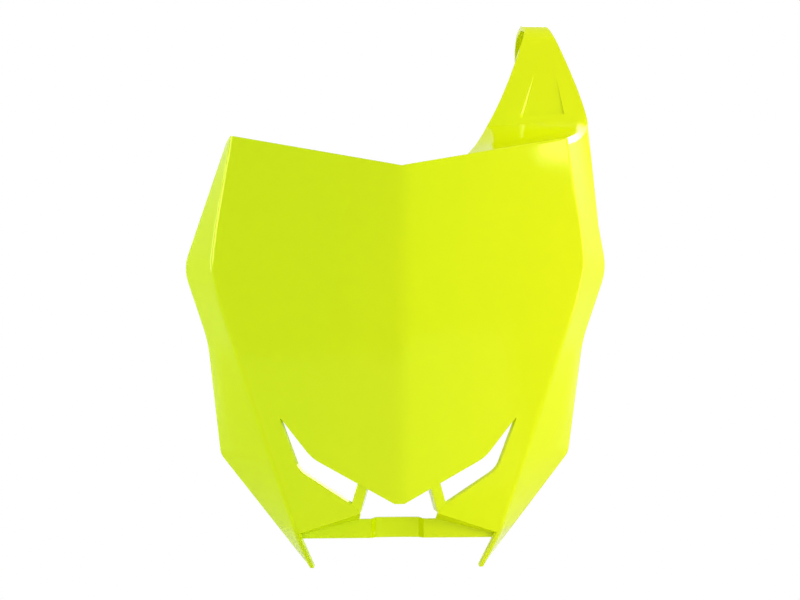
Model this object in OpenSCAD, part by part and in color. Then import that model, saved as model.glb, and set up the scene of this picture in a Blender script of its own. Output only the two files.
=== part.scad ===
// Front number board for a motocross motorcycle, one moulding in polypropylene.
// A V-shaped face folds back into two side flanges. Two long vents part the
// chin from the cheeks, two posts bridge them, a bar ties the feet together,
// and a strap on one shoulder curls over the handlebar.
// Front looks along -Y, up is +Z, the ridge of the V stands at x = 0.
// All sizes are in millimetres, heights are taken from the foot of the cheeks.

/* [Face] */
// height of the notch in the middle of the top edge
notch_z = 215.5; // [205:0.5:222]
// distance of the ridge in front of the lower corners, at the notch
ridge_depth = 60; // [52:0.5:68]
// angle of each half of the face to the flat
vee_angle = 11; // [8:0.5:14]
// how far the foot of the face leans back
lean_angle = 5.7; // [3:0.1:8]
// half width of the rounding on the ridge
ridge_round = 7; // [3:0.5:12]
// thickness of the moulding
wall = 2.8; // [2.2:0.1:3.4]
// distance of a top corner from the middle
corner_x = 99.6; // [94:0.2:104]
// height of a top corner
corner_z = 233.6; // [228:0.2:238]

/* [Fold line between face and flange] */
// distance of the fold from the middle at the widest level
fold_wide_x = 111.4; // [107:0.2:115]
// distance of the fold from the middle where it turns to the foot
fold_turn_x = 106.4; // [102:0.2:109]
// height where the fold turns to the foot
fold_turn_z = 134; // [126:0.5:142]
// distance of the fold from the middle at the foot
fold_foot_x = 62.8; // [60:0.2:66]
// reach of the rounding on each side of the fold
fold_round = 2.4; // [1:0.1:4]

/* [Outline of the flanges] */
// distance of the widest point from the middle
wide_x = 128.9; // [124:0.2:134]
// height of the widest point
wide_z = 156; // [150:0.5:162]
// distance of the waist from the middle
waist_x = 114.1; // [110:0.2:118]
// height of the waist
waist_z = 112.3; // [106:0.1:118]
// distance of the lower corner from the middle
lower_x = 106.5; // [102:0.2:111]
// height of the lower corner
lower_z = 43; // [38:0.2:47]
// how far the lower corner stands behind the widest point
lower_back = 10; // [6:0.2:14]
// how far the waist stands in front of the lower corner
waist_front = 9; // [6:0.2:12]
// distance of a leg tip from the middle
leg_x = 52.2; // [50:0.2:55]
// depth of a leg tip under the foot of the cheeks
leg_drop = 25; // [20:0.2:29]
// how far a leg tip stands in front of the lower corner
leg_front = 9; // [6:0.5:12]
// bulge of the flange between waist and lower corner
flange_bulge = 1.6; // [0:0.1:3]

/* [Vents and chin] */
// distance of the upper vent tip from the middle
vent_tip_x = 70.9; // [68:0.2:73]
// height of the upper vent tip
vent_tip_z = 66.8; // [62:0.2:71]
// distance of the outer bend of a vent from the middle
vent_bend_x = 59.6; // [57:0.2:62]
// height of the outer bend of a vent
vent_bend_z = 35.6; // [33:0.2:38]
// distance of the bend in the chin edge from the middle
chin_bend_x = 52; // [49:0.2:54]
// height of the bend in the chin edge
chin_bend_z = 43; // [41:0.2:46]
// half width of the blunt tip of the chin
chin_flat = 3; // [1.5:0.1:5]
// height of the chin tip
chin_z = 16; // [13.5:0.1:18]
// rounding in the bends of the vents
vent_round = 5; // [2:0.5:8]
// distance of the inner corner of a cheek from the middle
cheek_x = 22.9; // [21:0.1:25]
// height of the inner corner of a cheek
cheek_z = 10; // [9:0.1:11.5]
// height of the foot of a cheek beside the leg
cheek_foot_z = -2.4; // [-3.5:0.1:-1.5]

/* [Posts] */
// distance of the post from the middle at the chin
post_top_x = 20.6; // [19:0.1:22]
// distance of the post from the middle at the cheek
post_foot_x = 25.7; // [24.5:0.1:27]
// width of a post
post_w = 6.6; // [5:0.1:8]
// depth of a post from front to back
post_depth = 9; // [6:0.5:12]
// step from the front of the face back to the front of a post
post_step = 1.3; // [0.8:0.1:2]

/* [Bar] */
// distance of the bar in front of the rear edges
bar_depth = 20; // [16:0.5:24]
// height of the top edge of the bar
bar_top_z = 5.1; // [4:0.1:6.5]
// height of the bottom edge of the bar
bar_foot_z = -6.4; // [-8:0.1:-5]
// half width of the saddle in the middle of the bar
saddle_half = 13; // [10:0.2:15]
// width of the slope on each side of the saddle
saddle_slope = 2.8; // [1.5:0.1:4]
// set-back of the saddle behind the bar
saddle_back = 3; // [2:0.1:4]
// radius of the hollow front of the saddle
saddle_r = 90; // [60:1:140]

/* [Strap] */
// inside radius of the curl that takes the handlebar
curl_r = 11.2; // [9.5:0.1:12.5]
// highest point of the strap
strap_top_z = 305.5; // [298:0.5:312]
// left end of the strap on the top edge of the face
strap_root_x = 39.1; // [34:0.2:44]
// left side of the strap at its top
strap_left_x = 79; // [76.5:0.2:82]
// pull of the left side towards the handlebar, sideways
strap_pull_x = 62; // [58:0.5:66]
// pull of the left side towards the handlebar, upwards
strap_pull_z = 243; // [239:0.5:248]
// right side of the strap at its top
strap_right_x = 94.6; // [91:0.2:98]
// distance of the shoulder from the middle, where the strap stands up
shoulder_x = 116.2; // [112:0.2:119]
// height of the shoulder
shoulder_z = 247; // [243:0.2:251]
// height where the shoulder meets the flange outline
shoulder_foot_z = 182; // [176:0.5:188]
// distance of that point from the middle
shoulder_foot_x = 123.7; // [121:0.2:126]
// rise of the ledge behind the top edge of the face
ledge_rise = 5; // [2:0.5:8]
// depth of the hollow on the front of the strap, at its foot
hollow_depth = 1; // [0.4:0.1:1.6]
// left side of the return strip behind the strap
return_left_x = 75; // [73:0.2:77]
// width of the return strip
return_w = 19.5; // [17:0.1:22]
// height of the lower end of the return strip
return_foot_z = 246; // [240:0.5:254]
// radius of the two eyelets in the return strip
eyelet_r = 3.1; // [2.5:0.1:3.6]
// distance between the two eyelets
eyelet_pitch = 12; // [10:0.2:14]
// radius of the hook peg behind the strap
peg_r = 2.4; // [1.8:0.1:2.9]
// length of the hook peg
peg_length = 8; // [6:0.2:10]
// radius of the head of the hook peg
peg_head_r = 4.2; // [3.6:0.1:5]

/* [Hidden] */
$fn = 48;
slope = tan(vee_angle);
lean = tan(lean_angle);
strap_y = -15;
curl_out = curl_r + wall;
curl_y = strap_y + curl_out;
curl_z = strap_top_z - curl_out;
leg_z = -leg_drop;
leg_fold_back = -leg_front - 5;
seat = 0.5;
room = 20;
front_y = -ridge_depth;
back_y = curl_y + curl_out;
mid_y = (front_y + slope * ridge_round / 2 + back_y) / 2;
mid_z = (leg_z + strap_top_z) / 2;

// normal of one half of the face, pointing back into the moulding
back_dir = [-slope, 1, lean] / norm([-slope, 1, lean]);

function mix3(a, b, t) = a + (b - a) * t;
function bez(a, b, c, t) = a * (1 - t) * (1 - t) + b * 2 * t * (1 - t) + c * t * t;

// depth of the face at a place in the front view
function face_y(x, z) = front_y + lean * (notch_z - z) + slope *
    (abs(x) < ridge_round ? (x * x + ridge_round * ridge_round) / 2 / ridge_round : abs(x));

// the fold line between face and flange
fold_table = [
    [leg_z, leg_x + 0.4],
    [-6.8, fold_foot_x - 2.5],
    [1, fold_foot_x],
    [fold_turn_z, fold_turn_x],
    [(fold_turn_z + wide_z) / 2 + 5, fold_wide_x - 1.6],
    [wide_z + 2, fold_wide_x],
    [wide_z + 16, fold_wide_x - 1],
    [corner_z, corner_x]];
function fold_x(z) = lookup(z, fold_table);

// the curve from a top corner back and up to the shoulder of the strap
corner = [corner_x, face_y(corner_x, corner_z), corner_z];
shoulder = [shoulder_x, strap_y, shoulder_z];
shoulder_mid = [shoulder_x - 3.5, strap_y, corner_z + ledge_rise];
shoulder_foot = [shoulder_foot_x, strap_y + 3, shoulder_foot_z];
function shoulder_line(s) = bez(corner, shoulder_mid, shoulder, s);

// corner points of the rear edge, and the edge with its bends rounded
edge_soft = [0, 9, 8, 3, 0];
function edge_key(right) = [
    right ? shoulder_foot : corner + [2.2, 3 * wall, -1],
    [wide_x, -lower_back, wide_z],
    [waist_x, -waist_front, waist_z],
    [lower_x, 0, lower_z],
    [leg_x, -leg_front, leg_z]];
function toward(a, b, d) = a + (b - a) * d / norm(b - a);
function edge_line(right) = let (
    e = edge_key(right),
    top = right ? [for (v = [0, 0.3, 0.65, 1]) mix3(shoulder, e[0], v)]
        : [for (v = [0, 0.25, 0.5, 0.75]) mix3(e[0], e[1], v)])
    concat(top,
        [for (k = [1:3]) each concat(
            [for (t = k == 1 ? [] : k == 2 ? [0.5] : [0.3, 0.55, 0.8])
                mix3(toward(e[k - 1], e[k], edge_soft[k - 1]), toward(e[k], e[k - 1], edge_soft[k]), t)],
            [for (t = [0, 0.25, 0.5, 0.75, 1])
                bez(toward(e[k], e[k - 1], edge_soft[k]), e[k], toward(e[k], e[k + 1], edge_soft[k]), t)])],
        [mix3(e[3], e[4], 0.4), mix3(e[3], e[4], 0.7), toward(e[4], e[3], 4), e[4]]);
left_edge = edge_line(false);
right_edge = edge_line(true);
rows = len(left_edge);

// the fold beside each row of the edge
top_rows = 3;
function fold_y(z) = let (x = fold_x(z), y = face_y(x, z))
    z > cheek_foot_z ? y : y + (leg_fold_back - y) * (cheek_foot_z - z) / (cheek_foot_z - leg_z);
function fold_pt(z) = [fold_x(z), fold_y(z), z];
function fold_row(i, edge) = i == 0 ? corner
    : i < top_rows ? fold_pt(corner_z + (edge[top_rows][2] - corner_z) * i / top_rows)
    : fold_pt(edge[i][2]);

// one row of the board from the middle to the rear edge
flange_steps = [0.12, 0.3, 0.55, 0.8, 1];
function bulge(z) = flange_bulge * max(0, min((z - lower_z) / 18, (waist_z - z) / 30, 1));
function flange_pt(c, e, s) = mix3(c, e, s)
    + [0.75, -0.6, 0] * bulge(e[2]) * (s <= 0.55 ? s / 0.55 : (1 - s) / 0.45);
function side_row(i, edge, right) = let (
    f = fold_row(i, edge),
    r = i == 0 ? notch_z : f[2],
    c = fold_row(top_rows, edge),
    flange = [for (s = flange_steps) right && i < top_rows
        ? mix3(shoulder_line(s), mix3(c, edge[top_rows], s), norm(edge[i] - shoulder) / norm(shoulder_foot - shoulder))
        : flange_pt(f, edge[i], s)],
    lap = f[2] > cheek_foot_z ? 2 : 0.3,
    before = let (x = f[0] - fold_round, z = r + (f[2] - r) * x / f[0]) [x, f[1] - slope * fold_round, z],
    start = let (x = before[0] - lap, z = r + (f[2] - r) * x / f[0])
        [x, before[1] - slope * lap, z] + back_dir * seat,
    after = f + (flange[0] - f) * min(1, fold_round / norm(flange[0] - f)) * 0.98)
    concat([start], [for (t = [0, 0.33, 0.67]) bez(before, f, after, t)], flange);
right_grid = [for (i = [0:rows - 1]) side_row(i, right_edge, true)];
left_grid = [for (i = [0:rows - 1]) side_row(i, left_edge, false)];

// a curved sheet of one wall thickness from a grid of points on its front
function clip(v, a, b) = max(a, min(b, v));
function sheet_normal(g, i, j) = let (n = len(g) - 1, m = len(g[0]) - 1,
    a = g[clip(i + 1, 0, n)][j] - g[clip(i - 1, 0, n)][j],
    b = g[i][clip(j + 1, 0, m)] - g[i][clip(j - 1, 0, m)],
    c = cross(b, a)) c / norm(c);
module sheet(g, t, first = 0) {
    n = len(g);
    m = len(g[0]);
    front = [for (i = [0:n - 1]) for (j = [0:m - 1]) g[i][j]];
    back = [for (i = [0:n - 1]) for (j = [0:m - 1])
        g[i][j] + sheet_normal(g, i, j) * (j == 0 && first > 0 ? first : t)];
    o = n * m;
    faces = concat(
        [for (i = [0:n - 2]) for (j = [0:m - 2]) each [
            [i * m + j, i * m + j + 1, (i + 1) * m + j + 1],
            [i * m + j, (i + 1) * m + j + 1, (i + 1) * m + j],
            [o + i * m + j, o + (i + 1) * m + j + 1, o + i * m + j + 1],
            [o + i * m + j, o + (i + 1) * m + j, o + (i + 1) * m + j + 1]]],
        [for (j = [0:m - 2]) each [
            [j, o + j + 1, j + 1],
            [j, o + j, o + j + 1],
            [(n - 1) * m + j, (n - 1) * m + j + 1, o + (n - 1) * m + j + 1],
            [(n - 1) * m + j, o + (n - 1) * m + j + 1, o + (n - 1) * m + j]]],
        [for (i = [0:n - 2]) each [
            [i * m, (i + 1) * m, o + (i + 1) * m],
            [i * m, o + (i + 1) * m, o + i * m],
            [i * m + m - 1, o + (i + 1) * m + m - 1, (i + 1) * m + m - 1],
            [i * m + m - 1, o + i * m + m - 1, o + (i + 1) * m + m - 1]]]);
    polyhedron(concat(front, back), faces, convexity = 8);
}

// a bend in a cut-out line, rounded
function bend(a, b, c, r) = [for (t = [0, 0.25, 0.5, 0.75, 1])
    bez(b + (a - b) * r / norm(a - b), b, b + (c - b) * r / norm(c - b), t)];

// everything that is open between the chin, the cheeks and the legs
chin_slope = (chin_bend_z - chin_z) / (chin_bend_x - chin_flat);
open_half = concat(
    [[-2, chin_z - 0.3], [chin_flat * 0.6, chin_z - 0.3]],
    [[chin_flat + 0.8, chin_z + 0.8 * chin_slope]],
    bend([chin_flat, chin_z], [chin_bend_x, chin_bend_z], [vent_tip_x - 0.8, vent_tip_z], vent_round),
    [[vent_tip_x - 0.5, vent_tip_z], [vent_tip_x, vent_tip_z]],
    bend([vent_tip_x, vent_tip_z], [vent_bend_x, vent_bend_z], [28.4, 15.5], vent_round),
    [[28.4, 15.5], [cheek_x, cheek_z], [fold_foot_x - 4, cheek_foot_z]],
    [[fold_foot_x - 5.6, -6.8], [leg_x - 4, leg_z - 8], [-2, leg_z - 8]]);

// place in the front view to place on one half of the face
half_tilt = atan(lean * cos(vee_angle));
function on_face(p) = [p[0] / cos(vee_angle) + lean * (notch_z - p[1]) * sin(vee_angle),
    (notch_z - p[1]) / cos(half_tilt)];
module to_face() {
    translate([0, front_y, notch_z])
        rotate([0, 0, vee_angle])
            rotate([half_tilt - 90, 0, 0])
                children();
}
module square_to_face(pts, front, back) {
    to_face() translate([0, 0, -front])
        linear_extrude(front + back)
            polygon([for (p = pts) on_face(p)]);
}

// section of the V-shaped face, its ridge is an arc
ridge_k = slope * cos(lean_angle);
module behind_vee(shift, r) {
    c = ridge_k * ridge_round + ridge_round / ridge_k;
    side = wide_x + room;
    difference() {
        translate([0, shift])
            polygon([[0, 0], [side, side * ridge_k], [side, ridge_depth + room],
                [-side, ridge_depth + room], [-side, side * ridge_k]]);
        difference() {
            translate([0, shift - 5])
                square([2 * ridge_round * r / (r + wall), 12 + 2 * ridge_k * ridge_round], center = true);
            translate([0, c]) circle(r, $fn = 96);
        }
    }
}
module vee() {
    r = ridge_round / sin(atan(ridge_k));
    translate([0, front_y, notch_z])
        rotate([lean_angle, 0, 0])
            translate([0, 0, -notch_z - room])
                linear_extrude(corner_z + 2 * room)
                    difference() {
                        behind_vee(0, r);
                        behind_vee(wall / cos(atan(ridge_k)), r - wall);
                    }
}

// outline of one half of the face, up to the rounding on the fold
lap_x = fold_round - 0.25;
face_half = concat([[-3, notch_z - 0.7], [0, notch_z]],
    [[corner_x - lap_x, corner_z - (corner_z - notch_z) * lap_x / corner_x]],
    [for (i = [1:rows - 5]) let (f = fold_row(i, left_edge)) [f[0] - lap_x, f[2]]],
    [[fold_x(cheek_foot_z) - lap_x, cheek_foot_z], [-3, cheek_foot_z - 1]]);

// board: face, flanges, cheeks and legs in one folded sheet
module board() {
    difference() {
        intersection() {
            vee();
            union() {
                square_to_face(face_half, 6, wall + 4);
                mirror([1, 0, 0]) square_to_face(face_half, 6, wall + 4);
            }
        }
        square_to_face(open_half, 7, wall + 5);
        mirror([1, 0, 0]) square_to_face(open_half, 7, wall + 5);
    }
    sheet(right_grid, wall, wall - 2 * seat);
    mirror([1, 0, 0]) sheet(left_grid, wall, wall - 2 * seat);
}

// web that folds back from a cheek to the bar
module web() {
    a = [cheek_x + 0.2, face_y(cheek_x, cheek_z) + seat, cheek_z + 0.4];
    b = [fold_foot_x - 2.5, face_y(fold_foot_x - 2.5, cheek_foot_z) + seat, cheek_foot_z];
    c = [fold_foot_x - 1.3, -bar_depth + seat, bar_foot_z + 1.4];
    d = [cheek_x + 0.2, -bar_depth + seat, bar_top_z - 0.3];
    sheet([[a, b], [mix3(a, d, 0.5), mix3(b, c, 0.5)], [d, c]], wall);
}

// post between the chin and a cheek
module post() {
    zt = chin_z + (post_top_x - chin_flat) * chin_slope;
    along = ([28.4, 15.5] - [cheek_x, cheek_z]) / norm([28.4, 15.5] - [cheek_x, cheek_z]);
    foot = [cheek_x, cheek_z] + along * (post_foot_x - cheek_x) / along[0];
    half = [post_w / 2, 0];
    in = foot - along * post_w * 0.56;
    out = foot + along * post_w * 0.56;
    pts = [[post_top_x, zt + 5] - half, [post_top_x, zt + 5] + half, out, out + [1.5, -0.1], in + [1.5, -0.1], in];
    high = on_face([post_top_x, zt])[1];
    low = on_face(foot)[1];
    to_face() intersection() {
        linear_extrude(post_depth + post_step) polygon([for (p = pts) on_face(p)]);
        rotate([90, 0, 90]) linear_extrude(2 * post_foot_x)
            polygon([[high - 8, post_step], [high, post_step], [low, 0.3], [low + 6, 0.3],
                [low + 6, post_depth], [high - 8, post_depth + post_step]]);
    }
}

// bar with the hollow saddle in its middle
module bar() {
    y = -bar_depth;
    sag = saddle_r - sqrt(saddle_r * saddle_r - saddle_half * saddle_half);
    in = saddle_half + saddle_slope;
    out = in + 4;
    deep = y + saddle_back + sag - saddle_r;
    arc = [for (k = [-4:4]) let (x = saddle_half * k / 4)
        [x, deep + sqrt(saddle_r * saddle_r - x * x)]];
    translate([0, 0, bar_foot_z])
        linear_extrude(bar_top_z - bar_foot_z)
            polygon(concat([[-out, y], [-in, y]], arc, [[in, y], [out, y], [out, y + wall], [in, y + wall]],
                [for (k = [8:-1:0]) arc[k] + [0, wall]], [[-in, y + wall], [-out, y + wall]]));
    for (m = [0, 1])
        mirror([m, 0, 0])
            translate([0, y + wall, 0])
                rotate([90, 0, 0])
                    linear_extrude(wall)
                        polygon([[out - 1, bar_foot_z], [fold_foot_x - 1.4, bar_foot_z],
                            [fold_foot_x + 3, bar_top_z], [out - 1, bar_top_z]]);
}

// outline of the strap in the front view
left_a = [strap_root_x, notch_z + (corner_z - notch_z) * strap_root_x / corner_x];
left_b = [strap_pull_x, strap_pull_z];
left_c = [strap_left_x, strap_top_z - 3];
right_a = [shoulder_x, shoulder_z];
right_b = [shoulder_x - 3.4, shoulder_z + 17];
right_c = [strap_right_x, strap_top_z - 4];
lift = 0.36;
strap_outline = concat(
    [bez(left_a, left_b, left_c, lift) + [1.2, -3]],
    [for (k = [0:8]) bez(left_a, left_b, left_c, lift + (1 - lift) * k / 8)],
    [[strap_left_x - 0.4, strap_top_z - 1.6], [strap_left_x - 1.5, strap_top_z], [strap_left_x - 1.5, strap_top_z + 1]],
    [for (p = [[5.2, 1], [4.6, 0.1], [2.8, -0.4], [1, -1.6]]) [strap_right_x - p[0], strap_top_z + p[1]]],
    [for (k = [8:-1:0]) bez(right_a, right_b, right_c, k / 8)],
    [right_a + [-0.3, -3]]);

// outline of the curl behind its top, down to the return strip
return_right_x = return_left_x + return_w;
return_outline = concat(
    [[return_left_x, curl_z - curl_out], [return_left_x, curl_z + 3]],
    [[return_left_x + 0.8, strap_top_z - 4], [strap_left_x - 1.5, strap_top_z], [strap_left_x - 1.5, strap_top_z + 1]],
    [for (p = [[5.2, 1], [4.6, 0.1], [2.8, -0.4], [1, -1.6]]) [strap_right_x - p[0], strap_top_z + p[1]]],
    [[return_right_x, strap_top_z - 4], [return_right_x, curl_z - curl_out]]);

// side view of the strap: standing part, curl and return strip
module strap_profile(foot, rear) {
    difference() {
        union() {
            translate([strap_y, foot]) square([wall, curl_z - foot]);
            translate([curl_y, curl_z]) circle(curl_out);
            translate([curl_y + curl_r, rear]) square([wall, curl_z - rear]);
        }
        translate([curl_y, curl_z]) circle(curl_r);
        translate([curl_y - curl_r, foot - room]) square([2 * curl_r, curl_z - foot + room]);
    }
}

// ledge that runs back from the top edge of the face and turns up into the strap
ledge_rows = 6;
function ledge_pt(s, t) = let (
    a = [left_a[0], face_y(left_a[0], left_a[1]), left_a[1]],
    c2 = bez(left_a, left_b, left_c, lift),
    c = [c2[0], strap_y, c2[1]],
    b = [(a[0] + c[0]) / 2 + 2.5, strap_y, a[2] + ledge_rise + 4],
    l = bez(a, b, c, s)) mix3(l, shoulder_line(s) - [0.7, 0, 0.5], t) + [0, seat, -seat] * (1 - s)
        + [0, 0.15, 0] * s;
module ledge() {
    sheet([for (i = [ledge_rows:-1:0]) [for (t = [0, 0.25, 0.5, 0.75, 1]) ledge_pt(i / ledge_rows, t)]], wall);
}

// wedge that hollows the front of the strap, deepest at its foot
module hollow() {
    long = 27;
    translate([return_left_x, strap_y + hollow_depth, shoulder_z + 1.5])
        rotate([90 + atan(hollow_depth / long), 0, 0])
            linear_extrude(4)
                polygon([[0, 0], [27, 2.5], [22.5, long - 3], [6.8, long]]);
}

// strap with the hollow on its front
module strap() {
    foot = bez(left_a, left_b, left_c, lift)[1] - 4;
    difference() {
        union() {
            intersection() {
                rotate([90, 0, 90]) linear_extrude(shoulder_x + room) strap_profile(foot, curl_z - 1);
                union() {
                    translate([0, curl_y, 0]) rotate([90, 0, 0]) linear_extrude(curl_out + room) polygon(strap_outline);
                    translate([0, curl_y + curl_out + room, 0]) rotate([90, 0, 0])
                        linear_extrude(curl_out + room + seat) polygon(return_outline);
                }
            }
            translate([return_left_x, 0, 0]) rotate([90, 0, 90]) linear_extrude(return_w)
                translate([curl_y + curl_r, return_foot_z + return_w / 2])
                    square([wall, curl_z - return_foot_z - return_w / 2]);
            translate([return_left_x + return_w / 2, back_y, return_foot_z + return_w / 2])
                rotate([90, 0, 0]) cylinder(r = return_w / 2, h = wall);
        }
        for (k = [0, 1])
            translate([return_left_x + return_w / 2, back_y + 1, return_foot_z + return_w / 2 + k * eyelet_pitch])
                rotate([90, 0, 0]) cylinder(r = eyelet_r, h = wall + 2);
        hollow();
    }
}

// hook peg behind the strap that takes an eyelet
module peg() {
    translate([return_left_x + return_w / 2, strap_y + wall - 0.4, return_foot_z + return_w / 2 + eyelet_pitch / 2])
        rotate([-90, 0, 0]) {
            cylinder(r = peg_r, h = peg_length + 0.4);
            translate([0, 0, peg_length - 2]) cylinder(r = peg_head_r, h = 2.4);
        }
}

module number_board() {
    color([0.86, 0.96, 0.02])
        translate([0, -mid_y, -mid_z])
            union() {
                board();
                ledge();
                strap();
                peg();
                bar();
                post();
                mirror([1, 0, 0]) post();
                web();
                mirror([1, 0, 0]) web();
            }
}

number_board();
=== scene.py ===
import bpy
import bmesh
import math
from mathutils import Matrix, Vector


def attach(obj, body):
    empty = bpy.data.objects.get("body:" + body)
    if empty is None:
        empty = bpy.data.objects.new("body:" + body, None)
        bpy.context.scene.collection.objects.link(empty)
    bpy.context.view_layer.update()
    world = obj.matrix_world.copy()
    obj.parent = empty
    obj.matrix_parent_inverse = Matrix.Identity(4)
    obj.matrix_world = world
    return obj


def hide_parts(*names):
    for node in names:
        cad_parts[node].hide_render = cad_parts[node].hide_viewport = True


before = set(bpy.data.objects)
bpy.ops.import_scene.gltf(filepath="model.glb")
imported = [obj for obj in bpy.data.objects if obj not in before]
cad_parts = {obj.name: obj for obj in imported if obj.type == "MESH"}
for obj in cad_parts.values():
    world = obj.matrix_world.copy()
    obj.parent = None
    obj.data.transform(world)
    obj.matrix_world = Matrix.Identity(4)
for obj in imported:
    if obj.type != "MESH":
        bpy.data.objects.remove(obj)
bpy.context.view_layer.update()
bpy.ops.object.select_all(action="DESELECT")

# Face of the board: two flat halves that meet in a soft ridge down the middle,
# moulded in polypropylene with the flanges, the cheeks and the strap in one shot.
# It is traced as one skin, which gets its wall thickness at the end.
slope, lean = math.tan(math.radians(11)), math.tan(math.radians(5.7))
ridge_y, soft_ridge = -60, 7
middle_y, middle_z = -23.16, 140.25
notch_z, corner_x, corner_z, cheek_foot_z = 215.5, 99.6, 233.6, -2.4
chin_half, chin_foot = 3, 16
vent_bend_in, vent_bend_out = (52, 43), (59.6, 35.6)
vent_tip_in, vent_tip_out = (70.1, 66.6), (70.9, 66.6)
vent_top_in, vent_top_out = (70.2, 66.3), (70.9, 66.3)
cheek_tip, cheek_inner, cheek_foot = (28.4, 15.5), (22.9, 10), (58.6, cheek_foot_z)
vent_soft = 5


def spot(x, y, z):
    """Turns millimetres, as the board is measured, into metres around its middle."""
    return Vector((x, y - middle_y, z - middle_z)) / 1000


def face_y(x, z):
    """The depth of the face, whose two slopes meet in a parabola along the ridge."""
    x = abs(x)
    across = (x * x + soft_ridge ** 2) / (2 * soft_ridge) if x < soft_ridge else x
    return ridge_y + lean * (notch_z - z) + slope * across


def on_face(x, z):
    return Vector((x, face_y(x, z), z))


def top_z(x):
    return notch_z + (corner_z - notch_z) * abs(x) / corner_x


def chin_z(x):
    rise = (vent_bend_in[1] - chin_foot) / (vent_bend_in[0] - chin_half)
    return chin_foot + rise * max(0, abs(x) - chin_half)


def arc(a, b, c, t):
    """A place on the curve that leaves a towards b and comes into c from b."""
    return a * (1 - t) ** 2 + b * 2 * t * (1 - t) + c * t * t


def toward(a, b, far):
    return a + (b - a).normalized() * far


def on_side(side, point):
    """The place on the right half for 1, and its mirror image for -1."""
    return Vector((side * point.x, point.y, point.z))


def trace(points):
    """Draws a chain of edges through places given in millimetres."""
    here = spot(*points[0])
    bpy.ops.mesh.primitive_plane_add(size=0.001, location=here)
    bpy.ops.mesh.merge(type="CENTER")
    for point in points[1:]:
        there = spot(*point)
        bpy.ops.mesh.extrude_region_move(TRANSFORM_OT_translate={"value": there - here})
        here = there


def pick(points, near=1e-5):
    """Selects what is shown at these places, with the edges between them."""
    skin_mesh = bmesh.from_edit_mesh(bpy.context.object.data)
    places = [spot(*point) for point in points]
    for vertex in skin_mesh.verts:
        at_place = any((vertex.co - place).length < near for place in places)
        vertex.select = at_place and not vertex.hide
    skin_mesh.select_flush_mode()
    bmesh.update_edit_mesh(bpy.context.object.data)


def fill(outline):
    """Traces a closed outline and makes one face of it."""
    trace(outline)
    pick([outline[0], outline[-1]])
    bpy.ops.mesh.edge_face_add()
    pick(outline)
    bpy.ops.mesh.edge_face_add()


def put_away():
    """Hides a finished patch, so that the next one is traced alone."""
    bpy.ops.mesh.select_all(action="SELECT")
    bpy.ops.mesh.hide(unselected=False)


def skin_over(chains):
    """Bridges chain after chain into a patch of the skin."""
    for chain in chains:
        trace(chain)
    for one, other in zip(chains, chains[1:]):
        pick(one + other)
        bpy.ops.mesh.bridge_edge_loops()
    put_away()


bpy.ops.mesh.primitive_plane_add(size=0.01)
moulding = bpy.context.object
moulding.name = moulding.data.name = "board_moulding"
bpy.ops.object.mode_set(mode="EDIT")
bpy.ops.mesh.select_mode(type="VERT")
bpy.ops.mesh.delete(type="VERT")

ridge_x = (-soft_ridge, -5.2, -3, -1.5, 0, 1.5, 3, 5.2, soft_ridge)
skin_over([[on_face(x, top_z(x)), on_face(x, chin_z(x))] for x in ridge_x])

leg_y, leg_z = -14, -25
fold_bends = [(leg_z, 52.6), (-6.8, 60.3), (1, 62.8), (134, 106.4),
              (150, 109.8), (158, 111.4), (172, 110.4), (corner_z, corner_x)]


def fold(z):
    """The sharp line on which face and flange would meet without their rounding."""
    (z0, x0), (z1, x1) = next(pair for pair in zip(fold_bends, fold_bends[1:]) if z <= pair[1][0])
    x = x0 + (x1 - x0) * (z - z0) / (z1 - z0)
    y = face_y(x, z)
    if z < cheek_foot_z:
        y += (leg_y - y) * (cheek_foot_z - z) / (cheek_foot_z - leg_z)
    return Vector((x, y, z))


rear_bends = [Vector((128.9, -10, 156)), Vector((114.3, -9, 112.3)),
              Vector((106.7, 0, 43)), Vector((52.4, -11, leg_z))]
leg_rows = (30, 15.4, 1, cheek_foot_z, -6.8, -15, -22, leg_z)
inner_steps = (0.2, 0.4, 0.6, 0.8)


def rear_edge(first, top):
    """The free edge of a flange: its top rows, three rounded bends and the rows of the leg."""
    ends = [first] + rear_bends
    line = list(top)
    for k, soft, between in ((1, 9, inner_steps), (2, 8, inner_steps), (3, 3, ())):
        a, b, c = toward(ends[k], ends[k - 1], soft), ends[k], toward(ends[k], ends[k + 1], soft)
        line += [arc(a, b, c, t) for t in (0, 0.25, 0.5, 0.75, 1)]
        line += [ends[k].lerp(ends[k + 1], 0.15 + 0.7 * t) for t in between]
    low, tip = rear_bends[2:]
    return line + [low.lerp(tip, (low.z - z) / (low.z - tip.z)) for z in leg_rows]


corner = on_face(corner_x, corner_z)
shoulder, shoulder_foot = Vector((116.2, -15, 247)), Vector((123.7, -12, 182))
rear_top = corner + Vector((2.6, 8.4, -2.6))
top_steps = (0, 0.05, 0.1, 0.16, 0.24, 0.4, 0.7, 1)
top_part = 0.66
left_edge = rear_edge(rear_top, [rear_top.lerp(rear_bends[0], top_part * t) for t in top_steps])
right_edge = rear_edge(shoulder_foot, [shoulder.lerp(shoulder_foot, t) for t in top_steps])
fold_z = [corner_z + (shoulder_foot.z - corner_z) * t for t in top_steps]
fold_z += [point.z for point in left_edge[len(top_steps):]]
fold_round, less_at_top, tight_from, tight_to = 2.4, 0.9, 130, 160


def shoulder_line(s):
    """Runs from the top corner of the face back and up to the strap."""
    return arc(corner, Vector((112.7, -15, 238.6)), shoulder, s)


def reach(z):
    """How far the rounding goes to each side of the fold: it is tighter at the top."""
    return fold_round - less_at_top * max(0, min((z - tight_from) / (tight_to - tight_from), 1))


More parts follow.
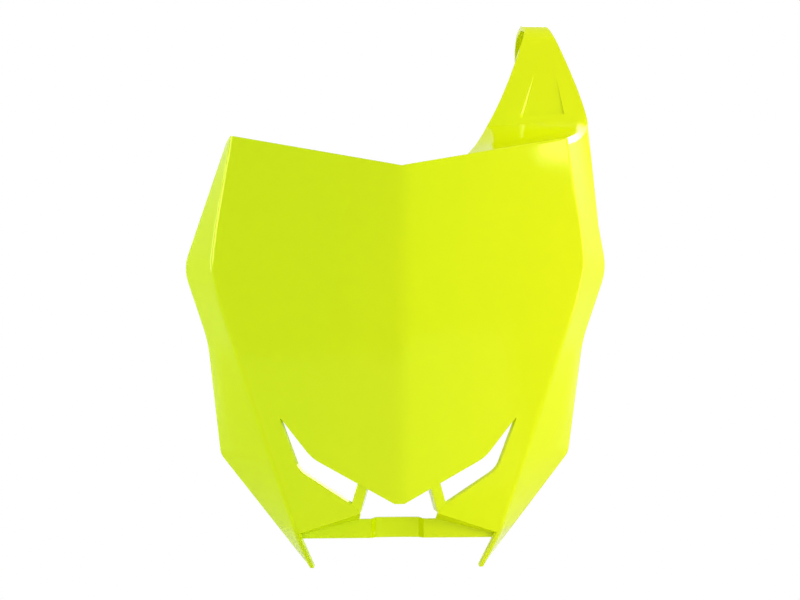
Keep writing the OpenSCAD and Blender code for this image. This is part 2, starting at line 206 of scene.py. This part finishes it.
def round_in(i, down):
    """Where the face ends and the rounding on its fold begins, beside row i of the flange."""
    f, near = fold(fold_z[i]), reach(fold_z[i])
    if i == 0:
        return on_face(corner_x - near, top_z(corner_x - near) - down)
    return Vector((f.x - near, f.y - slope * near, f.z))


lip = 1.5
lip_x = [39.1, 41.5, 46, 54, 64, 74, 82, 88, 92.5, 95.8]
lip_in = [0.3, 0.9] + 8 * [lip]
ledge_from = 38.7
above_vents = 69
tip_row = next(i for i, z in enumerate(fold_z) if z < above_vents)
cheek_row = next(i for i, z in enumerate(fold_z) if abs(z - cheek_foot_z) < 0.01)


def bend(a, b, c):
    """The rounded corner of a vent at b, between its straight edges to a and c."""
    a, b, c = (Vector((*p, 0)) for p in (a, b, c))
    start, end = toward(b, a, vent_soft), toward(b, c, vent_soft)
    return [on_face(*arc(start, b, end, t).xy) for t in (0, *inner_steps, 1)]


vent_out = bend(cheek_tip, vent_bend_out, vent_tip_out) + [on_face(*vent_top_out)]
vent_in = [on_face(*vent_top_in)] + bend(vent_tip_in, vent_bend_in, (chin_half, chin_foot))
for side in (1, -1):
    top = [on_face(soft_ridge, top_z(soft_ridge))]
    if side > 0:
        top += [on_face(ledge_from, top_z(ledge_from))]
        top += [on_face(x, top_z(x) - down) for x, down in zip(lip_x, lip_in)] + [round_in(0, lip)]
    else:
        top += [round_in(0, 0)]
    field = top + [round_in(i, 0) for i in range(1, tip_row + 1)] + vent_out[-1:] + vent_in
    field += [on_face(soft_ridge, chin_z(soft_ridge))]
    cheek = [round_in(i, 0) for i in range(tip_row, cheek_row + 1)]
    cheek += [on_face(*place) for place in (cheek_foot, cheek_inner, cheek_tip)] + vent_out
    for outline in (field, cheek):
        fill([on_side(side, point) for point in outline])
        put_away()

# Flanges: the sides of the board, folded back to the rear edges, with a soft bulge
# between waist and lower corner. Each runs out below the cheek into a pointed leg.
# They are part of the moulding and stiffen its face.
flange_steps = (0.12, 0.3, 0.5, 0.7, 0.85, 1)
bulge_out, bulge_peak = 2.2, 0.7
bulge_low, low_fade, bulge_high, high_fade = 43, 18, 112, 24


def bulge(z):
    return bulge_out * max(0, min((z - bulge_low) / low_fade, (bulge_high - z) / high_fade, 1))


def flange_row(i, right):
    """One row of points from the face over the rounded fold to the rear edge."""
    edge = (right_edge if right else left_edge)[i]
    f = fold(fold_z[i])
    if right and i < len(top_steps) - 1:
        foot = fold(fold_z[len(top_steps) - 1])
        row = [shoulder_line(s).lerp(foot.lerp(shoulder_foot, s), top_steps[i]) for s in flange_steps]
    else:
        swell = Vector((0.75, -0.6, 0)) * bulge(edge.z)
        row = [f.lerp(edge, s) + swell * min(s / bulge_peak, (1 - s) / (1 - bulge_peak))
               for s in flange_steps]
    start = round_in(i, lip if right else 0)
    end = toward(f, row[0], min(reach(fold_z[i]), (row[0] - f).length) * 0.98)
    return [start] + [arc(start, f, end, t) for t in inner_steps] + [end] + row[1:]


for side in (1, -1):
    rows = [flange_row(i, side > 0) for i in range(len(fold_z))]
    skin_over([[on_side(side, row[j]) for row in rows] for j in range(len(rows[0]))])

# Strap: from the top edge of the right half a ledge runs back and turns up into the
# strap, which narrows, curls over the handlebar and ends in a return strip with two
# eyelets. It bends, so it is as thin as the rest and has no ribs.
root_x, root_z = lip_x[0], top_z(lip_x[0])
root, left_pull = Vector((root_x, 0, root_z)), Vector((61.6, 0, 243))
right_pull = Vector((112.3, 0, 264))
left_top, right_top = Vector((78.6, 0, 302.5)), Vector((94, 0, 301.5))
strap_from = 0.36
strap_y, curl_y, curl_z, curl_out = -15, -1, 291.5, 14
strip_x, strip_half, strip_y, strip_foot = 84.75, 9.75, curl_y + curl_out, 255.75
across = [(x - root_x) / (corner_x - lip - root_x) for x in lip_x] + [1]


def strap_left(k):
    p = arc(root, left_pull, left_top, strap_from + (1 - strap_from) * k)
    return Vector((p.x, strap_y, p.z))


def strap_right(k):
    p = arc(shoulder, right_pull, right_top, k)
    return Vector((p.x, strap_y, p.z))


def ledge_left(s):
    foot, head = on_face(root_x, root_z - lip_in[0]), strap_left(0)
    pull = Vector(((foot.x + head.x) / 2 + 1.5, strap_y - 14, root_z + 9))
    return arc(foot, pull, head, s)


round_rows = len(inner_steps) + 1


def ledge_row(j):
    """Row j of the ledge ends on the shoulder line, at column j of the right flange."""
    end = flange_row(0, True)[j]
    if j > round_rows:
        s = flange_steps[j - round_rows]
        return [ledge_left(s).lerp(end, t) for t in across]
    row, s = [], flange_steps[1]
    for x, t, down in zip(lip_x + [corner_x - lip], across, lip_in + [lip]):
        start, edge = on_face(x, top_z(x) - down), on_face(x, top_z(x))
        out = toward(edge, ledge_left(s).lerp(shoulder_line(s), t), down)
        row.append(arc(start, edge, out, j / round_rows))
    return row[:-1] + [end]


skin_over([ledge_row(j) for j in range(round_rows + len(flange_steps))])

curl_rows = [(62, 78.2, 92.9), (76, 77.5, 90.8), (90, 77.1, 89.2), (104, 77.2, 90.4),
             (118, 76.6, 92), (135, 75.8, 93.6), (157, 75.3, 94.4), (180, 75, 94.5)]


def curl_place(x, z):
    """A place on the front of the strap, which curls back from the handlebar's middle up."""
    rise = max(0, z - curl_z)
    return Vector((x, curl_y - math.sqrt(curl_out ** 2 - rise ** 2), z))


strap_rows = []
for k in (0, 0.12, 0.24, 0.36, 0.48, 0.6, 0.7, 0.78, 0.84, 0.9, 0.95, 1):
    a, b = strap_left(k), strap_right(k)
    strap_rows.append([curl_place(a.x + (b.x - a.x) * t, a.z + (b.z - a.z) * t) for t in across])
for turn, x0, x1 in curl_rows:
    y = curl_y - curl_out * math.cos(math.radians(turn))
    z = curl_z + curl_out * math.sin(math.radians(turn))
    strap_rows.append([Vector((x0 + (x1 - x0) * t, y, z)) for t in across])
for z in (280, 267, strip_foot):
    strap_rows.append([Vector((strip_x - strip_half + 2 * strip_half * t, strip_y, z)) for t in across])
for turn in (20, 40, 58, 73, 85):
    half, drop = strip_half * math.cos(math.radians(turn)), strip_half * math.sin(math.radians(turn))
    strap_rows.append([Vector((strip_x - half + 2 * half * t, strip_y, strip_foot - drop)) for t in across])
skin_over(strap_rows)

# Webs: below each cheek a web folds back to the bar, so that the foot of the board is
# a stiff box. It is part of the same skin.
bar_end, web_y = 61.4, -19.5
upper = [on_face(*cheek_inner), on_face(*cheek_foot)]
lower = [Vector((cheek_inner[0], web_y, 4.9)), Vector((bar_end, web_y, -5))]
middle = [a.lerp(b, 0.5) for a, b in zip(upper, lower)]
for side in (1, -1):
    skin_over([[on_side(side, point) for point in row] for row in (upper, middle, lower)])

bpy.ops.mesh.reveal()
bpy.ops.mesh.select_all(action="SELECT")
bpy.ops.mesh.remove_doubles(threshold=0.00002)

# Shoulder: ledge, flange and strap flow into each other, so their meeting is smoothed,
# more and more towards the outer end.
smooth_from, smooth_steps = 4, 16
along = [(spot(*shoulder_line(k / smooth_steps)), 0.001 + 0.009 * k / smooth_steps)
         for k in range(smooth_from, smooth_steps + 1)]
skin_mesh = bmesh.from_edit_mesh(moulding.data)
for vertex in skin_mesh.verts:
    vertex.select = not vertex.is_boundary and any((vertex.co - at).length < near for at, near in along)
skin_mesh.select_flush_mode()
bmesh.update_edit_mesh(moulding.data)
bpy.ops.mesh.vertices_smooth(factor=0.5, repeat=5)
bpy.ops.mesh.select_all(action="SELECT")
bpy.ops.mesh.normals_make_consistent(inside=False)
bpy.ops.object.mode_set(mode="OBJECT")
middle_face = min(moulding.data.polygons, key=lambda face: (face.center - spot(0, -55, 120)).length)
if middle_face.normal.y > 0:
    bpy.ops.object.mode_set(mode="EDIT")
    bpy.ops.mesh.flip_normals()
    bpy.ops.object.mode_set(mode="OBJECT")

# Wall of the moulding: 2.8 mm everywhere, measured square to the skin, in one go.
# The outer walls of the vents then get the draft with which they leave the mould.
thick, draft = 2.8, Vector((0.00055, -0.00015, 0.00045))
wall = moulding.modifiers.new("wall", "SOLIDIFY")
wall.thickness, wall.offset = thick / 1000, -1
wall.use_even_offset = wall.use_quality_normals = True
bpy.ops.object.modifier_apply(modifier="wall")
bpy.ops.object.mode_set(mode="EDIT")
bpy.ops.mesh.select_mode(type="VERT")
for side in (1, -1):
    behind = Vector((-side * slope, 1, lean)).normalized() * thick
    pick([on_side(side, point) + behind for point in [on_face(*cheek_tip)] + vent_out], near=4e-4)
    bpy.ops.transform.translate(value=on_side(-side, draft))
bpy.ops.object.mode_set(mode="OBJECT")


def cut_out(cutter):
    """Takes a shape out of the moulding, and the shape itself away."""
    bpy.ops.object.select_all(action="DESELECT")
    moulding.select_set(True)
    bpy.context.view_layer.objects.active = moulding
    cut = moulding.modifiers.new("cut", "BOOLEAN")
    cut.object, cut.solver = cutter, "EXACT"
    bpy.ops.object.modifier_apply(modifier="cut")
    bpy.data.objects.remove(cutter)


def start_block(name, outline, way):
    """A solid that begins as a traced outline, filled and pulled out along its depth."""
    bpy.ops.object.select_all(action="DESELECT")
    bpy.ops.mesh.primitive_plane_add(size=0.01)
    block = bpy.context.object
    block.name = block.data.name = name
    bpy.ops.object.mode_set(mode="EDIT")
    bpy.ops.mesh.delete(type="VERT")
    fill(outline)
    bpy.ops.mesh.extrude_region_move(TRANSFORM_OT_translate={"value": Vector(way) / 1000})
    return block


def close_block():
    bpy.ops.mesh.select_all(action="SELECT")
    bpy.ops.mesh.normals_make_consistent(inside=False)
    bpy.ops.object.mode_set(mode="OBJECT")


# Eyelets and hollow of the strap: two round holes in the return strip, and a shallow
# wedge on the front of the strap, deepest at its foot, moulded in.
eyelet_pitch, eyelet_radius = 12, 0.0031
for z in (strip_foot, strip_foot + eyelet_pitch):
    bpy.ops.mesh.primitive_cylinder_add(vertices=48, radius=eyelet_radius, depth=0.012,
                                        location=spot(strip_x, 12, z),
                                        rotation=(math.radians(90), 0, 0))
    cut_out(bpy.context.object)
cut_deep, slant = 6, 0.0076
right_wall = [(102, strap_y + 1.5, 250.4), (97.6, strap_y + 0.25, 270), (95.6, strap_y - 0.2, 276)]
left_wall = [(84.2, strap_y - 0.2, 278), (83, strap_y + 0.1, 272), (76.6, strap_y + 1.5, 248)]
hollow = start_block("hollow", left_wall[-1:] + right_wall + left_wall[:-1], (0, -cut_deep, 0))
pick([(x, y - cut_deep, z) for x, y, z in left_wall])
bpy.ops.transform.translate(value=(-slant, 0, 0))
close_block()
cut_out(hollow)

# Rims: every free edge of the moulding is slightly rounded, as the mould leaves it.
# The bar, the posts and the peg come after, because they keep their own edges.
rims = moulding.modifiers.new("rims", "BEVEL")
rims.width, rims.segments, rims.limit_method, rims.angle_limit = 0.0005, 3, "ANGLE", math.radians(40)
bpy.ops.object.modifier_apply(modifier="rims")

# Bar: ties the feet of the board together, with a hollow saddle in its middle that
# clears what the board rests on. It is as thick as the wall, and flat beside the saddle.
bar_y, bar_foot, bar_high = -20, -6.4, 11.5
saddle_foot, saddle_half, saddle_r, saddle_y = 15.8, 13, 90, -106.056
saddle_x = [saddle_half * k / 6 for k in range(-6, 7)]
saddle = [(x, saddle_y + math.sqrt(saddle_r ** 2 - x ** 2)) for x in saddle_x]
front = [(-bar_end, bar_y), (-saddle_foot, bar_y)] + saddle + [(saddle_foot, bar_y), (bar_end, bar_y)]
back = [(x, y + thick) for x, y in reversed(front)]
bar = start_block("bar", [(x, y, bar_foot) for x, y in front + back], (0, 0, bar_high))
bar_top, flare, saddle_rise = bar_foot + bar_high, 0.0044, 0.0006
for side in (1, -1):
    pick([(side * bar_end, y, bar_top) for y in (bar_y, bar_y + thick)])
    bpy.ops.transform.translate(value=(side * flare, 0, 0))
pick([(x, y + far, bar_top) for x, y in saddle for far in (0, thick)])
bpy.ops.transform.translate(value=(0, 0, saddle_rise))
close_block()

# Posts: two short posts bridge the vents. They start behind the chin, set back from its
# front, and come out nearly flush at the corners of the cheeks.
post_deep, below_chin, below_cheek = 8.8, 1.3, 0.3
at_chin = [(17.3, 30.7), (23.9, 30.7)]
at_cheek = [(28.3, 15.4), (29.8, 15.3), (24.6, 10.1), (23.1, 10.2)]
ring = [on_face(x, z) + Vector((0, below_chin, 0)) for x, z in at_chin]
ring += [on_face(x, z) + Vector((0, below_cheek, 0)) for x, z in at_cheek]
for side in (1, -1):
    way = (-side * slope * post_deep, post_deep, lean * post_deep)
    post = start_block("post", [on_side(side, point) for point in ring], way)
    close_block()
    edges = post.modifiers.new("edges", "BEVEL")
    edges.width, edges.segments, edges.limit_method = 0.0004, 3, "ANGLE"
    bpy.ops.object.modifier_apply(modifier="edges")
    post.name = "post_right" if side > 0 else "post_left"

# Hook peg: a mushroom behind the strap that takes an eyelet of the return strip. It is
# moulded on, with a domed head wider than its stem.
peg_z, peg_long, peg_from = strip_foot + eyelet_pitch / 2, 7.8, strap_y + 2.4
bpy.ops.mesh.primitive_cylinder_add(vertices=40, radius=0.0024, depth=peg_long / 1000,
                                    location=spot(strip_x, peg_from + peg_long / 2, peg_z),
                                    rotation=(math.radians(90), 0, 0))
peg = bpy.context.object
peg.name = peg.data.name = "peg"
bpy.ops.object.transform_apply(location=True, rotation=True, scale=True)
bpy.ops.object.mode_set(mode="EDIT")
peg_mesh = bmesh.from_edit_mesh(peg.data)
for face in peg_mesh.faces:
    face.select = face.normal.y > 0.9
peg_mesh.select_flush_mode()
bmesh.update_edit_mesh(peg.data)
bpy.ops.mesh.extrude_region_move(TRANSFORM_OT_translate={"value": (0, 0, 0)})
bpy.ops.transform.resize(value=(1.75, 1, 1.75))
bpy.ops.mesh.extrude_region_move(TRANSFORM_OT_translate={"value": (0, 0.0012, 0)})
bpy.ops.mesh.extrude_region_move(TRANSFORM_OT_translate={"value": (0, 0.0009, 0)})
bpy.ops.transform.resize(value=(0.72, 1, 0.72))
close_block()

# All of it leaves the mould as one piece, so bar, posts and peg are joined to the rest,
# and the whole stands for the one node of the part.
bpy.ops.object.select_all(action="DESELECT")
for piece in (bar, bpy.data.objects["post_right"], bpy.data.objects["post_left"], peg, moulding):
    piece.select_set(True)
bpy.context.view_layer.objects.active = moulding
bpy.ops.object.join()
bpy.ops.object.shade_smooth_by_angle(angle=math.radians(28))
weights = moulding.modifiers.new("weights", "WEIGHTED_NORMAL")
weights.keep_sharp = True
bpy.ops.object.modifier_apply(modifier="weights")
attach(moulding, "root")
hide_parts("number_board")

# Gloss yellow: fluorescent polypropylene, polished by the mould. Its base colour carries painted light:
# it is painted warmer and brighter towards the strap's side, where the lamps on the right fall, along a
# boundary that wanders with the flow noise. The gloss is a touch uneven and has the fine ripple of plastic.


class Link:
    """One output of a node, which takes part in sums as a number does."""

    def __init__(self, maker, socket):
        self.maker, self.socket = maker, socket

    def sum_with(self, other, operation, swap=False):
        one, two = (other, self) if swap else (self, other)
        return self.maker.node("ShaderNodeMath", {"operation": operation}, {0: one, 1: two})

    def __add__(self, other): return self.sum_with(other, "ADD")
    def __radd__(self, other): return self.sum_with(other, "ADD", True)
    def __mul__(self, other): return self.sum_with(other, "MULTIPLY")
    def __rmul__(self, other): return self.sum_with(other, "MULTIPLY", True)


class Finish:
    """The nodes of a material or a world, and one method that adds any node to them."""

    def __init__(self, owner):
        self.owner = owner
        owner.use_nodes = True
        owner.node_tree.nodes.clear()

    def node(self, kind, settings=None, sockets=None, out=0):
        node = self.owner.node_tree.nodes.new(kind)
        for name, value in (settings or {}).items():
            setattr(node, name, value)
        for name, value in (sockets or {}).items():
            if isinstance(value, Link):
                self.owner.node_tree.links.new(value.socket, node.inputs[name])
            else:
                node.inputs[name].default_value = value
        return Link(self, node.outputs[out]) if len(node.outputs) else node


gloss = Finish(bpy.data.materials.new("gloss_yellow_plastic"))
place = gloss.node("ShaderNodeTexCoord", out="Object")
across_board = gloss.node("ShaderNodeSeparateXYZ", {}, {"Vector": place}, out="X")
flow, cloud, ripple = (
    gloss.node("ShaderNodeTexNoise", {},
               {"Vector": place, "Scale": scale, "Detail": detail, "Roughness": rough})
    for scale, detail, rough in ((14.0, 3.0, 0.5), (60.0, 4.0, 0.6), (420.0, 2.0, 0.5)))
# Painted light: the base colour runs from a greener shade on the left to a warmer, brighter one on the
# right.
painted_light_mask = gloss.node("ShaderNodeMapRange", {"clamp": True},
                   {"Value": across_board + flow * 0.05, "From Min": -0.03, "From Max": 0.13})
first_color, second_color, mixed_color = 6, 7, 2
yellow_and_painted_light = gloss.node("ShaderNodeMix", {"data_type": "RGBA", "clamp_factor": True},
                     {"Factor": painted_light_mask, first_color: (0.66, 0.87, 0.0, 1),
                      second_color: (0.79, 0.88, 0.0, 1)}, out=mixed_color)
bump = gloss.node("ShaderNodeBump", {},
                  {"Strength": 0.05, "Distance": 0.0003, "Height": ripple * 0.6 + cloud * 0.8})
shell = gloss.node("ShaderNodeBsdfPrincipled", {},
                   {"Base Color": yellow_and_painted_light, "Roughness": 0.03 + cloud * 0.03 + flow * 0.02,
                    "Specular IOR Level": 0.5, "Specular Tint": (1, 1, 0.3, 1), "Normal": bump})
gloss.node("ShaderNodeOutputMaterial", {}, {"Surface": shell})
moulding.data.materials.clear()
moulding.data.materials.append(gloss.owner)

# Studio: white paper well below the board, a white surround and soft boxes to the right
# and left, above and low in front. Two sheen panels light nothing by themselves, and show
# only as reflections on the left fold and on the shoulder.
bpy.ops.mesh.primitive_plane_add(size=14, location=(0, 0, -0.47))
floor = bpy.context.object
floor.name = floor.data.name = "studio_floor"
paper = Finish(bpy.data.materials.new("white_paper"))
seen = paper.node("ShaderNodeTexCoord", out="Object")
far = paper.node("ShaderNodeVectorMath", {"operation": "LENGTH"}, {0: seen}, out="Value")
fade = paper.node("ShaderNodeMapRange", {"clamp": True},
                  {"Value": far, "From Min": 0.35, "From Max": 1.2})
ray = paper.node("ShaderNodeLightPath", out="Is Camera Ray")
mirror = paper.node("ShaderNodeLightPath", out="Is Glossy Ray")
plain = paper.node("ShaderNodeBsdfDiffuse", {}, {"Color": (0.8, 0.8, 0.8, 1)})
glow = paper.node("ShaderNodeEmission", {}, {"Color": (1, 1, 1, 1), "Strength": 1.0})
sheet = paper.node("ShaderNodeMixShader", {}, {0: fade * (ray + mirror), 1: plain, 2: glow})
paper.node("ShaderNodeOutputMaterial", {}, {"Surface": sheet})
floor.data.materials.append(paper.owner)

surround = Finish(bpy.data.worlds.new("studio"))
bpy.context.scene.world = surround.owner
ray = surround.node("ShaderNodeLightPath", out="Is Camera Ray")
mirror = surround.node("ShaderNodeLightPath", out="Is Glossy Ray")
glass = surround.node("ShaderNodeLightPath", out="Is Transmission Ray")
way_out = surround.node("ShaderNodeTexCoord", out="Object")
toward_back = surround.node("ShaderNodeSeparateXYZ", {}, {"Vector": way_out}, out="Y")
level = surround.node("ShaderNodeMapRange", {"clamp": True},
                      {"Value": toward_back, "From Min": -0.7, "From Max": 0.5,
                       "To Min": 0.78, "To Max": 0.3})
soft = surround.node("ShaderNodeBackground", {}, {"Color": (1, 1, 1, 1), "Strength": level})
white = surround.node("ShaderNodeBackground", {}, {"Color": (1, 1, 1, 1), "Strength": 1.0})
both = surround.node("ShaderNodeMixShader", {}, {0: ray + mirror + glass, 1: soft, 2: white})
surround.node("ShaderNodeOutputWorld", {}, {"Surface": both})

lamps = (("key_right", (0.80, -0.986, 0.178), (0, 0, 0), (0.3, 0.48), 8, True),
         ("top_right", (0.55, -0.2, 0.95), (0, 0, 0), (0.8, 0.5), 1.5, True),
         ("side_right", (1.25, -0.1, 0.1), (0, 0, 0), (0.4, 1.0), 3.6, True),
         ("side_left", (-1.3, 0.1, 0.17), (0, 0, 0), (0.4, 0.84), 6.5, True),
         ("fill_low", (-0.1, -1.0, -0.42), (0, 0, 0), (1.6, 0.3), 0.45, True),
         ("sheen_top", (0.575, 0.45, 0.427), (0.192, 0.45, -0.497), (1.3, 0.79), 7, False),
         ("sheen_left", (-0.702, -0.61, 0.035), (0, 0, 0), (0.43, 0.33), 9, False))
for name, at, aim, size, level, lights in lamps:
    bpy.ops.object.light_add(type="AREA", location=at)
    lamp = bpy.context.object
    lamp.name = lamp.data.name = name
    lamp.data.shape, lamp.data.size, lamp.data.size_y = "RECTANGLE", size[0], size[1]
    lamp.data.energy = level * math.pi * size[0] * size[1]
    lamp.rotation_euler = (Vector(aim) - lamp.location).to_track_quat("-Z", "Y").to_euler()
    lamp.visible_diffuse = lights

# Camera: level with the middle of the board, a little to its left and turned back to it,
# far enough away that the board looks nearly as flat as on paper.
bpy.ops.object.camera_add(location=(-0.07, -1.1336, -0.00325),
                          rotation=(math.radians(90), 0, math.radians(-3.6)))
camera = bpy.context.object
camera.data.lens, camera.data.sensor_width = 85, 36
bpy.context.scene.camera = camera
bpy.context.scene.view_settings.view_transform = "Standard"
